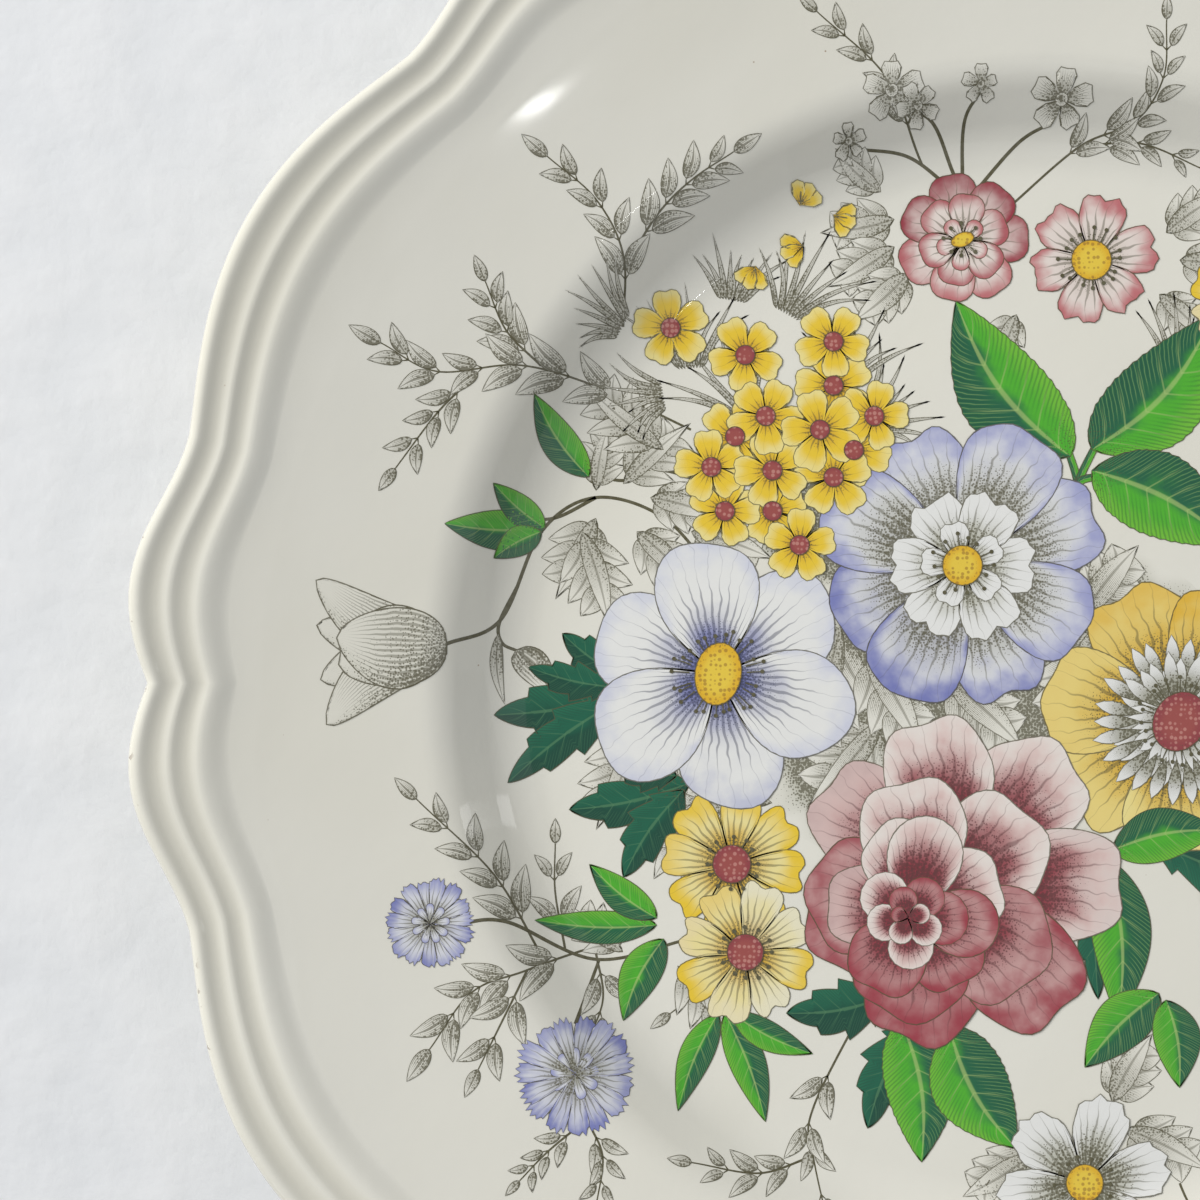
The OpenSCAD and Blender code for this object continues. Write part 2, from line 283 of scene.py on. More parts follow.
# %% A socket that does arithmetic
class Wire:
    def __init__(self, pot, socket):
        self.pot, self.socket = pot, socket

    def __add__(self, other):
        return self.pot.math("ADD", self, other)

    def __sub__(self, other):
        return self.pot.math("SUBTRACT", self, other)

    def __mul__(self, other):
        return self.pot.math("MULTIPLY", self, other)

    def __abs__(self):
        return self.pot.math("ABSOLUTE", self, 0.0)

    def __rsub__(self, other):
        return self.pot.math("SUBTRACT", other, self)

    __radd__ = __add__
    __rmul__ = __mul__


# %% A pot of nodes
class Pot:
    """A material under way, as a pot of colour is mixed."""

    def __init__(self, name):
        self.paint = bpy.data.materials.new(name)
        self.paint.use_nodes = True
        self.tree = self.paint.node_tree
        self.tree.nodes.clear()

    def node(self, kind, settings=None, inputs=None, output=0):
        node = self.tree.nodes.new(kind)
        for key, value in (settings or {}).items():
            setattr(node, key, value)
        for key, value in (inputs or {}).items():
            if isinstance(value, Wire):
                self.tree.links.new(value.socket, node.inputs[key])
            else:
                node.inputs[key].default_value = value
        return Wire(self, node.outputs[output])

    def math(self, operation, a, b):
        return self.node("ShaderNodeMath", {"operation": operation}, {0: a, 1: b})

    def mix(self, share, first, second):
        """Colours first to second as share goes from 0 to 1."""
        settings = {"data_type": "RGBA", "blend_type": "MIX", "clamp_factor": True}
        return self.node("ShaderNodeMix", settings, {0: share, 6: first, 7: second}, output=2)

    def ramp(self, value, low, high):
        """0 below low, 1 above high and smooth between; low may be the larger."""
        settings = {"interpolation_type": "SMOOTHSTEP"}
        return self.node("ShaderNodeMapRange", settings, {0: value, 1: low, 2: high})

    def place(self):
        """The place on the plate, in millimetres."""
        coords = self.node("ShaderNodeTexCoord", output="Object")
        settings = {"operation": "SCALE"}
        return self.node("ShaderNodeVectorMath", settings, {0: coords, "Scale": 1 / MM})

    def cloud(self, place, per_mm, detail=2.0):
        return self.node(
            "ShaderNodeTexNoise", None, {"Vector": place, "Scale": per_mm, "Detail": detail}
        )

    def cells(self, place, per_mm, jitter=1.0):
        """Distance to the nearest of many scattered points, for dots."""
        inputs = {"Vector": place, "Scale": per_mm, "Randomness": jitter}
        return self.node("ShaderNodeTexVoronoi", None, inputs)

    def mark(self, name):
        return self.node("ShaderNodeAttribute", {"attribute_name": name}, output="Fac")

    def glossy(self, colour, roughness, bump, bump_mm, coat=1.0):
        """Ends the recipe with a surface, under a clear coat or bare."""
        inputs = {"Base Color": colour, "Roughness": roughness, "Coat Weight": coat}
        inputs.update({"Coat Roughness": 0.04, "Coat IOR": 1.5, "IOR": 1.45})
        height = {"Height": bump, "Distance": bump_mm * MM}
        inputs["Normal"] = self.node("ShaderNodeBump", None, height)
        surface = self.node("ShaderNodeBsdfPrincipled", None, inputs)
        out = self.tree.nodes.new("ShaderNodeOutputMaterial")
        self.tree.links.new(surface.socket, out.inputs["Surface"])
        return self.paint


# %% [markdown]
# ## The glaze and the clay
#
# Old cream glaze is never one flat colour. It is a little warmer where it has pooled in the
# flutes, it holds scattered iron specks, and it is rubbed down to brown on the lip. The colour is
# the same function for the plate and for the unpainted insides of the printed leaves, so that a
# patch vanishes where nothing is painted on it.

# %% Cream glaze
CREAM = (0.840, 0.822, 0.735, 1)
CREAM_WARM = (0.810, 0.786, 0.680, 1)
POOLED = (0.70, 0.665, 0.53, 1)
SPECK = (0.30, 0.17, 0.07, 1)
WORN = (0.20, 0.12, 0.07, 1)


def cream(pot):
    """The colour of the bare glaze, with its slow clouding."""
    clouding = pot.ramp(pot.cloud(pot.place(), 0.025, 3.0), 0.35, 0.7)
    return pot.mix(clouding * 0.55, CREAM, CREAM_WARM)


def ripple(pot):
    """The slight unevenness that makes a reflection waver."""
    place = pot.place()
    return pot.cloud(place, 0.06, 1.0) * 0.9 + pot.cloud(place, 0.5, 2.0) * 0.1


def glazed(pot, colour):
    """Ends the recipe of anything that lies on the glaze or is the glaze itself."""
    return pot.glossy(colour, roughness=0.32, bump=ripple(pot), bump_mm=0.25)


def glaze_paint():
    pot = Pot("cream glaze")
    place = pot.place()
    colour = pot.mix(pot.mark("pooling") * 0.5, cream(pot), POOLED)
    sparse = pot.ramp(pot.cloud(place, 0.09, 1.0), 0.45, 0.62)
    specks = pot.ramp(pot.cells(place, 0.16), 0.030, 0.012) * sparse
    colour = pot.mix(specks * 0.75, colour, SPECK)
    rubbed = pot.ramp(pot.cloud(place, 0.55, 3.0), 0.67, 0.71) * pot.mark("lip")
    colour = pot.mix(rubbed * 0.85, colour, WORN)
    return glazed(pot, colour)


def clay_paint():
    pot = Pot("bare clay")
    place = pot.place()
    grain = pot.cloud(place, 1.6, 4.0)
    colour = pot.mix(pot.ramp(grain, 0.3, 0.7), (0.62, 0.53, 0.40, 1), (0.74, 0.66, 0.53, 1))
    grime = pot.ramp(pot.cloud(place, 0.12, 2.0), 0.5, 0.75)
    colour = pot.mix(grime * 0.5, colour, (0.40, 0.33, 0.24, 1))
    return pot.glossy(colour, roughness=0.85, coat=0.0, bump=grain, bump_mm=0.15)


GLAZE, CLAY = glaze_paint(), clay_paint()
print("mixed", GLAZE.name, "and", CLAY.name)

# %% [markdown]
# ## The three parts of the plate itself
#
# The clay body is one turned and scalloped solid. The outer glaze is a skin with an inside and an
# outside: it starts at the middle of the face, goes round the lip and ends on the foot ring's
# outer wall, where the potter wiped it off. The island of glaze inside the foot ring keeps the
# frame's own shape, which is already a plain turned disc, and gets the glaze as its finish.

# %% Clay body
UNDERSIDE_Z = FLOOR_Z - CLAY_T
FOOT = [
    (foot_outer(FOOT_TOP), FOOT_TOP), (foot_outer(BEVEL_TOP), BEVEL_TOP),
    (FOOT_R - FOOT_BEVEL, 0.0), (FOOT_R - FOOT_LAND, 0.0), (foot_inner(BEVEL_TOP), BEVEL_TOP),
    (foot_inner(UNDERSIDE_Z), UNDERSIDE_Z), (0.0, UNDERSIDE_Z),
]
COVERED = face_line(0) + BORDER + back_line(CLAY_T)
BODY_COLUMNS, COAT_COLUMNS = 360, 384
body = turned(COVERED + FOOT, BODY_COLUMNS)
scallop(body)
bmesh.ops.recalc_face_normals(body, faces=body.faces)
finished(body, "clay_body", CLAY, "clay", "earthenware_body", sharp=40)

# %% Outer glaze
glaze_outside = puffed(COVERED, GLAZE_T)
glaze_outside[0] = (0.0, FLOOR_Z + GLAZE_T)
glaze_end = [
    (foot_outer(FOOT_TOP) + GLAZE_T, FOOT_TOP - GLAZE_T / 2),
    (foot_outer(GLAZE_STOP + GLAZE_T) + GLAZE_T, GLAZE_STOP + GLAZE_T),
    (foot_outer(GLAZE_STOP) + GLAZE_T / 2, GLAZE_STOP + 0.05),
    (foot_outer(GLAZE_STOP), GLAZE_STOP), (foot_outer(FOOT_TOP), FOOT_TOP),
]
coat = turned(glaze_outside + glaze_end + COVERED[::-1], COAT_COLUMNS)
pooling = coat.verts.layers.float.new("pooling")
lip = coat.verts.layers.float.new("lip")
for v in coat.verts:
    inset = PLATE_R + GLAZE_T - math.hypot(v.co.x, v.co.y)
    if inset < RIDGE_IN:
        v[pooling] = min(1, max(0, 1 - (relief(max(0, inset)) - BORDER_LIFT) / FLUTE_DEPTH) * 0.8)
    v[lip] = max(0, 1 - inset / WORN_WIDTH)
scallop(coat)
bmesh.ops.recalc_face_normals(coat, faces=coat.faces)
finished(coat, "glaze_coat", GLAZE, "glaze", "outer_glaze", sharp=40)

# %% Glaze inside the foot ring
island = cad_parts["footwell_glaze"]
island.data.materials.clear()
island.data.materials.append(GLAZE)
print("the island of glaze keeps its", len(island.data.polygons), "faces")


# %% [markdown]
# ## Transfers: flat patches laid on the glaze
#
# A printed and painted flower is a stack of thin flat shapes. Each one starts as a grid of faces
# that is pulled into the outline of a petal, a leaf or a stem; its UV map then says how far along
# and across the petal a point is, which is all that the paint needs. An inset draws the outline:
# it adds a narrow ring of faces, and a vertex mark that is 0 on the edge and 1 inside it. A
# finished sheet of patches is dropped onto the face of the plate.

# %% A sheet of patches
def toward(angle, distance=1.0):
    return Vector((math.cos(angle), math.sin(angle))) * distance


class Sheet:
    """Patches that share one paint and are fired on together, each a hair above the last."""

    def __init__(self, lift, layers=60, step=0.0008):
        self.bm = bmesh.new()
        self.bm.loops.layers.uv.new("UVMap")
        self.edge = self.bm.verts.layers.float.new("edge")
        self.tone = self.bm.verts.layers.float.new("tone")
        self.lift, self.layers, self.step, self.count = lift, layers, step, 0

    def patch(self, place, across=6, along=6, line=0.3, tone=0.5):
        """One patch: place(s, t) with s from -1 to 1 across it and t from 0 to 1 along it."""
        made = bmesh.ops.create_grid(
            self.bm, x_segments=across, y_segments=along, size=1, calc_uvs=True
        )["verts"]
        z = self.lift + self.step * (self.count % self.layers)
        for v in made:
            x, y = place(v.co.x, (v.co.y + 1) / 2)
            v.co = (x, y, z)
        bmesh.ops.remove_doubles(self.bm, verts=made, dist=0.01)
        faces = list({f for v in made if v.is_valid for f in v.link_faces})
        ring = []
        if line:
            ring = bmesh.ops.inset_region(
                self.bm, faces=faces, thickness=line, use_boundary=True,
                use_even_offset=False, use_interpolate=True,
            )["faces"]
        for v in {v for f in faces + ring for v in f.verts}:
            v[self.edge] = 0.0 if v.is_boundary and line else 1.0
            v[self.tone] = tone
        self.count += 1

    def fire(self, name, paint, slot_name, *nodes):
        """Lays the sheet on the plate and makes a piece of it."""
        for v in self.bm.verts:
            v.co.z += face_z(math.hypot(v.co.x, v.co.y))
        for f in self.bm.faces:
            f.normal_update()
            if f.normal.z < 0:
                f.normal_flip()
        print(name, "is", self.count, "patches")
        return finished(self.bm, name, paint, slot_name, *nodes)


# %% Outline of a petal
def petal(at, aim, length, spread, notch=0.0, frill=0.0, frills=5, full=2.4, phase=0.0):
    """Fans out from a point; spread is half its angle, full makes the tip broader."""
    def place(s, t):
        s = math.sin(math.pi / 2 * s)
        reach = (1 - abs(s) ** full) ** (1 / full)
        reach *= 1 - notch * math.exp(-((s / 0.25) ** 2))
        reach *= 1 + frill * math.sin(frills * math.pi * s + phase)
        return Vector(at) + toward(aim + spread * s, length * t * reach)
    return place


# %% Outline of a leaf
def leaf(base, tip, width, bow=0.0, belly=0.75, teeth=0, bite=0.0, point=0.85):
    """A blade from base to tip: bow bends it, teeth along its edge point to the tip, and a low
    value of point rounds its ends."""
    base, along = Vector(base), Vector(tip) - Vector(base)
    side = Vector((-along.y, along.x)).normalized()
    def place(s, t):
        half = width / 2 * max(0, math.sin(math.pi * t**belly)) ** point
        if teeth:
            tooth = (t * teeth) % 1.0
            half *= 1 - bite * (1 - tooth) ** 0.8
        return base + along * t + side * (s * half + bow * math.sin(math.pi * t))
    return place


# %% Outline of a stem
def stem(points, width, taper=0.5):
    """A thin ribbon through a few points, as a smooth curve."""
    points = [Vector(p) for p in points]
    ends = [2 * points[0] - points[1]] + points + [2 * points[-1] - points[-2]]
    def along(t):
        spans = len(points) - 1
        i = min(spans - 1, int(t * spans))
        u = t * spans - i
        a, b, c, d = ends[i:i + 4]
        bend = 2 * b + (c - a) * u + (2 * a - 5 * b + 4 * c - d) * u**2
        return (bend + (3 * b - a - 3 * c + d) * u**3) / 2
    def place(s, t):
        run = along(min(1, t + 0.01)) - along(max(0, t - 0.01))
        side = Vector((-run.y, run.x)).normalized()
        return along(t) + side * (s * width / 2 * (1 - taper * t))
    place.along = along
    return place


# %% Outline of a disc
def disc(at, radius, squash=1.0, turn=0.0):
    """A round patch; squash makes it oval across the direction of turn."""
    def place(s, t):
        x, y = toward(math.pi * s, radius * t)
        return Vector(at) + toward(turn, x) + toward(turn + math.pi / 2, y * squash)
    return place


# %% [markdown]
# ## Paint for petals and leaves
#
# The print under the colours is an engraving, so every paint has three parts. A wash goes from
# the heart of the petal to its rim. Dots crowd together where the petal is in shade. Fine lines
# run along it and die away. The ink of the outline, the dots and the lines is one olive sepia.

# %% Ink, dots and lines
INK = (0.092, 0.081, 0.034, 1)


def across_and_along(pot):
    split = pot.tree.nodes.new("ShaderNodeSeparateXYZ")
    chart = pot.node("ShaderNodeUVMap", {"uv_map": "UVMap"})
    pot.tree.links.new(chart.socket, split.inputs[0])
    return Wire(pot, split.outputs[0]), Wire(pot, split.outputs[1])


def stipple(pot, density, per_mm=2.7):
    """Ink dots that grow with density until they run together."""
    return pot.ramp(pot.cells(pot.place(), per_mm, 0.8) - density * 0.62, 0.07, -0.07)


def fine_lines(pot, across, count, strength):
    """Engraved lines that follow the petal, broken up a little."""
    wobble = pot.cloud(pot.place(), 0.35, 1.0) * 0.9
    stripe = abs(pot.math("FRACT", across * count + wobble, 0.0) - 0.5) * 2
    return pot.ramp(stripe - strength * 0.55, 0.10, -0.10)


def outline(pot):
    broken = pot.cloud(pot.place(), 1.1, 2.0) * 0.7
    return pot.ramp(pot.mark("edge") + broken, 1.05, 0.80)


# %% Petal paint
def petal_paint(name, heart, middle, rim, rim_from=0.55, shade=0.8, shade_from=0.0,
                shade_reach=0.5, lines=11, line_reach=0.75, ink=INK, deep=None):
    """Paint for one kind of petal. deep is the colour that petals with a high tone turn to."""
    pot = Pot(name)
    across, along = across_and_along(pot)
    drift = (pot.cloud(pot.place(), 0.25, 3.0) - 0.5) * 0.5
    off_middle = abs(across * 2 - 1)
    rimness = along + off_middle * off_middle * 0.15 + drift
    colour = pot.mix(pot.ramp(along + drift * 0.6, shade_from, shade_reach), heart, middle)
    rim_colour = pot.mix(pot.ramp(pot.mark("tone"), 0.2, 0.8), rim, deep) if deep else rim
    colour = pot.mix(pot.ramp(rimness, rim_from, rim_from + 0.38), colour, rim_colour)
    if deep:
        colour = pot.mix(pot.ramp(pot.mark("tone") + drift * 1.5, 0.35, 1.2) * 0.55, colour, deep)
    shadow = (1 - pot.ramp(along, shade_from, shade_reach)) * shade
    shadow = shadow + pot.ramp(off_middle, 0.72, 1.1) * shade * 0.5
    dark = stipple(pot, shadow)
    strokes = fine_lines(pot, across, lines, (1 - pot.ramp(along, line_reach * 0.3, line_reach)))
    edge_ink = outline(pot)
    colour = pot.mix(shadow * 0.22, colour, ink)
    colour = pot.mix(strokes * 0.55, colour, ink)
    colour = pot.mix(dark * 0.75, colour, ink)
    colour = pot.mix(edge_ink * 0.85, colour, INK)
    return glazed(pot, colour)


# %% Leaf paint
def leaf_paint(name, light, dark, glow, vein, ribs=7, shade=0.5):
    """Paint for leaves: one half light, glowing at its edge, and one half dark; pale ribs."""
    pot = Pot(name)
    across, along = across_and_along(pot)
    off_middle = abs(across * 2 - 1)
    drift = (pot.cloud(pot.place(), 0.22, 3.0) - 0.5) * 0.5
    half = pot.ramp(across + drift * 0.9, 0.36, 0.64)
    colour = pot.mix(half + drift * 0.6, light, dark)
    lit = pot.ramp(off_middle + drift, 0.35, 1.0) * (1 - half)
    colour = pot.mix(lit * 0.45, colour, glow)
    slant = along * ribs - off_middle * 1.2
    rib = abs(pot.math("FRACT", slant, 0.0) - 0.5) * 2
    hatch = abs(pot.math("FRACT", slant * 5.0, 0.0) - 0.5) * 2
    hatching = pot.ramp(hatch, 0.6, 0.2) * pot.ramp(off_middle, 0.0, 0.8)
    colour = pot.mix(hatching * shade * 0.8, colour, (0.012, 0.05, 0.03, 1))
    scratches = pot.ramp(hatch, 0.72, 0.95) * half * pot.ramp(off_middle + drift, 0.15, 0.5)
    colour = pot.mix(scratches * 0.30, colour, vein)
    side_ribs = pot.ramp(rib, 0.12, 0.03) * pot.ramp(off_middle, 1.0, 0.3)
    colour = pot.mix(side_ribs * 0.38, colour, vein)
    colour = pot.mix(pot.ramp(off_middle, 0.08, 0.03) * 0.55, colour, vein)
    grey = stipple(pot, (1 - pot.ramp(along, 0.0, 0.4)) * shade)
    colour = pot.mix(grey * 0.7, colour, INK)
    colour = pot.mix(outline(pot) * 0.85, colour, INK)
    return glazed(pot, colour)


# %% Paint for what is only printed
def print_paint(name, density, lines=9, reach=0.6, rib=0.9):
    """Bare glaze inside an ink outline, with dots and lines."""
    pot = Pot(name)
    across, along = across_and_along(pot)
    off_middle = abs(across * 2 - 1)
    shadow = (1 - pot.ramp(along, 0.0, reach)) * density
    shadow = shadow + pot.ramp(across, 0.55, 1.0) * density * 0.7
    colour = pot.mix(shadow * 0.35, cream(pot), (0.42, 0.42, 0.31, 1))
    colour = pot.mix(stipple(pot, shadow + density * 0.15) * 0.75, colour, INK)
    strokes = fine_lines(pot, across, lines, (1 - pot.ramp(along, reach * 0.4, reach)))
    colour = pot.mix(strokes * 0.5, colour, INK)
    colour = pot.mix(pot.ramp(off_middle, 0.16, 0.06) * rib * density, colour, INK)
    colour = pot.mix(outline(pot) * 0.85, colour, INK)
    return glazed(pot, colour)


# %% Sepia paints
def ink_paint():
    pot = Pot("sepia ink")
    thin = pot.ramp(pot.cloud(pot.place(), 1.5, 2.0), 0.3, 0.7)
    colour = pot.mix(thin * 0.4, INK, (0.20, 0.19, 0.12, 1))
    return glazed(pot, colour)


def ground_paint():
    """The dense dotted shade between the flowers, thinning out to bare glaze at its edge."""
    pot = Pot("dotted ground")
    across, along = across_and_along(pot)
    dense = 1 - pot.ramp(along + pot.cloud(pot.place(), 0.12, 2.0) * 0.3, 0.95, 1.15)
    colour = pot.mix(dense * 0.6, cream(pot), (0.32, 0.32, 0.23, 1))
    colour = pot.mix(stipple(pot, dense * 0.95) * 0.75, colour, INK)
    return glazed(pot, colour)


SEPIA_LEAF = print_paint("printed leaf", 0.72, lines=9, reach=0.9)
BROAD_LEAF = print_paint("broad printed leaf", 0.55, lines=17, reach=0.8)
SEPIA_PETAL = print_paint("printed petal", 0.95, lines=19, reach=1.0, rib=0.0)
TULIP_PETAL = print_paint("printed tulip petal", 0.62, lines=15, reach=0.95, rib=0.0)
SEPIA_INK, SEPIA_GROUND = ink_paint(), ground_paint()
print("mixed", SEPIA_INK.name, "and", SEPIA_GROUND.name)

# %% [markdown]
# ## The printed sprays
#
# Behind the coloured flowers the print runs out over the wall onto the rim: thin stems with
# small paired leaves, tufts of grass, and a few flowers that were never coloured. A spray is one
# curved stem with leaves along it, smaller towards the tip.

# %% Sprays
random.seed(7)
stems, printed_leaves, broad_leaves = Sheet(0.020, 1), Sheet(0.045, 12), Sheet(0.022, 28)
printed_flowers = Sheet(0.054, 12, 0.003)
LEAF_SCALE = 1.22


def spray(points, size, pairs, first=0.22, wide=0.42, spread=0.75):
    """A stem through these points, with pairs of leaves from first on and one at the tip."""
    size *= LEAF_SCALE
    line = stem(points, 0.36)
    stems.patch(line, across=1, along=14 * len(points), line=0)
    for i in range(pairs):
        t = first + (1 - first) * i / pairs
        root, ahead = line.along(t), line.along(min(1, t + 0.03))
        run = math.atan2(ahead.y - root.y, ahead.x - root.x)
        length = size * (1 - 0.45 * t) * random.uniform(0.85, 1.1)
        for side in (-1, 1):
            lean = side * spread * random.uniform(0.8, 1.15)
            start = root + toward(run + lean, 0.8)
            tip = start + toward(run + lean * 0.8, length)
            bow = -side * 0.07 * length
            printed_leaves.patch(leaf(start, tip, length * wide, bow), 6, 12, line=0.2)
            stems.patch(stem([root, start], 0.25), across=1, along=2, line=0)
    end, before = line.along(1), line.along(0.97)
    run = math.atan2(end.y - before.y, end.x - before.x)
    printed_leaves.patch(leaf(end, end + toward(run, size * 0.62), size * 0.27), 6, 12, line=0.2)


SPRAYS = [
    ([(-62, 52), (-62, 62), (-66, 70), (-73, 76)], 6.5, 4),
    ([(-62, 60), (-57, 68), (-52, 73), (-46, 77)], 6.5, 4),
    ([(-52, 37), (-65, 43), (-77, 46), (-89, 45), (-97, 49)], 7, 6),
    ([(-74, 46), (-79, 51), (-82, 58)], 5.5, 3),
    ([(-84, 44), (-89, 39), (-95, 31)], 5.5, 3),
    ([(-74, -40), (-81, -28), (-92, -17)], 6, 4),
    ([(-70.5, -39.5), (-72, -31), (-72, -24)], 5, 2),
    ([(-62, -38), (-76, -42), (-84, -45), (-90, -53)], 7.5, 4),
    ([(-76, -42), (-80, -50), (-83, -56)], 6, 2),
    ([(-66, -40), (-65, -47), (-68, -54)], 5.5, 2),
    ([(-68, -64), (-73, -68), (-77, -72)], 4, 3),
    ([(-67, -64), (-65, -69), (-66, -76)], 4, 3),
    ([(-26, -47), (-34, -63), (-34, -70), (-31, -84)], 5.5, 4),
    ([(-34, -70), (-42, -72), (-52, -70)], 5, 3),
    ([(-46, -42), (-51, -46), (-55, -49)], 5, 1),
    ([(-18, 76), (-24, 88), (-34, 97)], 5, 4),
    ([(-6, 69), (5, 78.5), (13, 82), (16.5, 88), (16.7, 96)], 4.8, 6),
    ([(5, 78.5), (14, 79), (24, 75)], 4.5, 3),
    ([(34, 62), (44, 74), (48, 88)], 6.5, 4),
    ([(52, 50), (64, 58), (76, 72)], 6.5, 4),
    ([(64, 30), (78, 36), (94, 40)], 7, 5),
    ([(70, 8), (84, 8), (98, 16)], 6.5, 4),
    ([(68, -18), (82, -22), (97, -16)], 7, 5),
    ([(60, -46), (72, -56), (86, -58)], 7, 4),
    ([(44, -60), (52, -74), (62, -82)], 6.5, 4),
    ([(20, -74), (24, -86), (18, -99)], 6.5, 4),
    ([(-6, -80), (-10, -90), (-4, -100)], 6, 4),
]
for points, size, pairs in SPRAYS:
    spray(points, size, pairs)
print(len(SPRAYS), "sprays have", printed_leaves.count, "leaves")

# %% Grass and bare stalks
TUFTS = [
    (-62, 52, 150, 9), (-52, 46, 95, 12), (-46, 56, 80, 10), (-38, 54, 60, 13), (-30, 44, 75, 12),
    (-26, 38, 30, 12), (-56, 42, 190, 9), (-44, 40, 120, 14), (20, 46, 70, 11), (40, 46, 60, 12),
]
for x, y, lean, length in TUFTS:
    for i in range(9):
        root = Vector((x, y)) + toward(math.radians(lean + 90), 0.42 * (i - 4))
        aim = math.radians(lean + 12 * (i - 4)) + random.uniform(-0.08, 0.08)
        tip = root + toward(aim, length * random.uniform(0.65, 1.1))
        bow = 0.22 * (i - 4) + random.uniform(-0.5, 0.5)
        printed_leaves.patch(leaf(root, tip, 0.85, -bow, belly=0.5), 2, 14, line=0.2)

STALKS = [
    [(-88, 5.4), (-80, 9), (-74, 22), (-66, 27), (-56, 24), (-48, 15)],
    [(-47, 28), (-56, 31), (-62, 29.5), (-67.5, 30.8)],
    [(-66, 27), (-72, 24), (-77, 24)],
    [(-77.5, 14), (-80.2, 8.5), (-79.8, 5.6), (-77.6, 4.4)],
    [(-86, -35), (-79, -35), (-66, -41), (-52, -38)],
    [(-69, -50), (-67, -45), (-65.5, -41)],
    [(-13, 74), (-17, 82), (-24, 84)],
    [(-12, 74), (-12, 82), (-10, 86)],
    [(-11, 71), (-4, 79), (1, 82)],
    [(-13, 72), (-20, 77), (-28, 78)],
]
for points in STALKS:
    stems.patch(stem(points, 0.55, 0.2), across=1, along=24 * len(points), line=0)
print(len(TUFTS), "tufts of grass and", len(STALKS), "bare stalks")

# %% Broad printed leaves round the bouquet
def lobed_leaf(sheet, base, tip, width):
    """Pairs of side lobes, then the blade down the middle that covers where they start."""
    base, run = Vector(base), Vector(tip) - Vector(base)
    aim = math.atan2(run.y, run.x)
    for share, size in [(0.10, 0.50), (0.34, 0.47), (0.58, 0.35)]:
        root = base + run * share
        for side in (-1, 1):
            end = root + toward(aim + side * 0.82, run.length * size)
            sheet.patch(leaf(root, end, width * 0.44, -side * 0.45), 6, 12, line=0.22)
    sheet.patch(leaf(base, tip, width * 0.40, 0.4), 8, 18, line=0.22)


BROAD = [
    (-66, 28, -64, 38, 5), (-62, 29, -52, 38, 6), (-66, 24, -72, 12, 7), (-68, 22, -64, 8, 7),
    (-60, 22, -52, 14, 7), (-58, 27, -48, 24, 7), (-56, 34, -68, 44, 6), (-52, 22, -40, 18, 8),
    (-24, 72, -31, 78, 6), (-22, 68, -33, 66, 7), (-22, 64, -32, 58, 7), (-20, 60, -28, 53, 8),
    (-4, 54, -8, 46, 6), (18, 66, 27, 72, 7), (20, 62, 30, 60, 7), (17, 57, 24, 50, 6),
    (-40, -22, -62, -24, 6), (-62, -40, -70, -33, 5), (-54, -42, -46, -52, 5),
    (-2, -70, -12, -76, 8), (12, -66, 24, -72, 8), (10, -62, 16, -52, 8), (-30, 40, -26, 30, 7),
    (30, -28, 44, -24, 8),
    (34, -16, 46, -18, 8), (36, 20, 30, 30, 8), (60, 20, 72, 16, 8), (50, -24, 44, -14, 7),
    (-30, 8, -36, -12, 9), (-26, 4, -18, -10, 9), (-14, 0, -3, -10, 9), (8, 8, 1, -8, 9),
    (-24, -6, -35, -19, 8), (6, 10, 14, 20, 9), (-60, -8, -66, -22, 7), (-40, -18, -58, -14, 7),
]
BROAD_SCALE = 1.15
for x0, y0, x1, y1, width in BROAD:
    lobed_leaf(broad_leaves, (x0, y0), (x1, y1), width * BROAD_SCALE)
print(len(BROAD), "broad leaves are", broad_leaves.count, "blades")

# %% Flowers that were never coloured
def printed_blossom(x, y, radius, turn, petals=5):
    for i in range(petals):
        aim = math.radians(turn + 360 * i / petals)
        shape = petal((x, y), aim, radius * random.uniform(0.85, 1.05), 0.62, notch=0.1)
        printed_flowers.patch(shape, 8, 6, line=0.26)
    printed_flowers.patch(disc((x, y), radius * 0.2), 10, 2, line=0.2, tone=1)


for flower in [(-23, 86, 5, 20), (-19, 84, 3.5, 50), (-10, 87, 3, 90), (2, 85, 5, 10),
               (-29, 79, 3, 170), (50, 70, 4.5, 0), (88, 28, 5, 40), (84, -40, 5, 10)]:
    printed_blossom(*flower)

# %% Tulip
# A tulip seen from the side, the same on both sides of its middle: two petals behind, two that
# curl away, and two that make the cup in front of them
tulip = Sheet(0.054, 12, 0.003)
CUP, CUP_AIM = Vector((-87.6, 5.6)), math.radians(184)
for lean, length, width, bow in [(12, 19, 8, 0.8), (30, 21, 8, 2.2), (7, 16, 12, 1.1)]:
    for side in (1, -1):
        tip = CUP + toward(CUP_AIM + math.radians(side * lean), length)
        place = leaf(CUP, tip, width, -side * bow, belly=0.85, point=0.6)
        tulip.patch(place, 14, 24, line=0.34)
printed_leaves.patch(leaf((-80.3, 7), (-79.4, -3.5), 2.0, -0.7), 6, 16, line=0.2)
bud = leaf((-77.8, 4.6), (-72.4, -2.0), 5, 0.5, belly=0.7, point=0.7)
printed_leaves.patch(bud, 10, 16, line=0.24)
print("the tulip is", tulip.count, "petals")

# %% Dotted ground, and the firing of all that is printed
ground = Sheet(0.012, 20)
GROUND = [
    (-9, -3, 37, 0.62, 15), (-33, 27, 14, 0.8, 100), (46, 6, 15, 0.9, 0), (34, -32, 12, 0.8, 150),
]
for x, y, radius, squash, turn in GROUND:
    ground.patch(disc((x, y), radius, squash, math.radians(turn)), 48, 20, line=0)

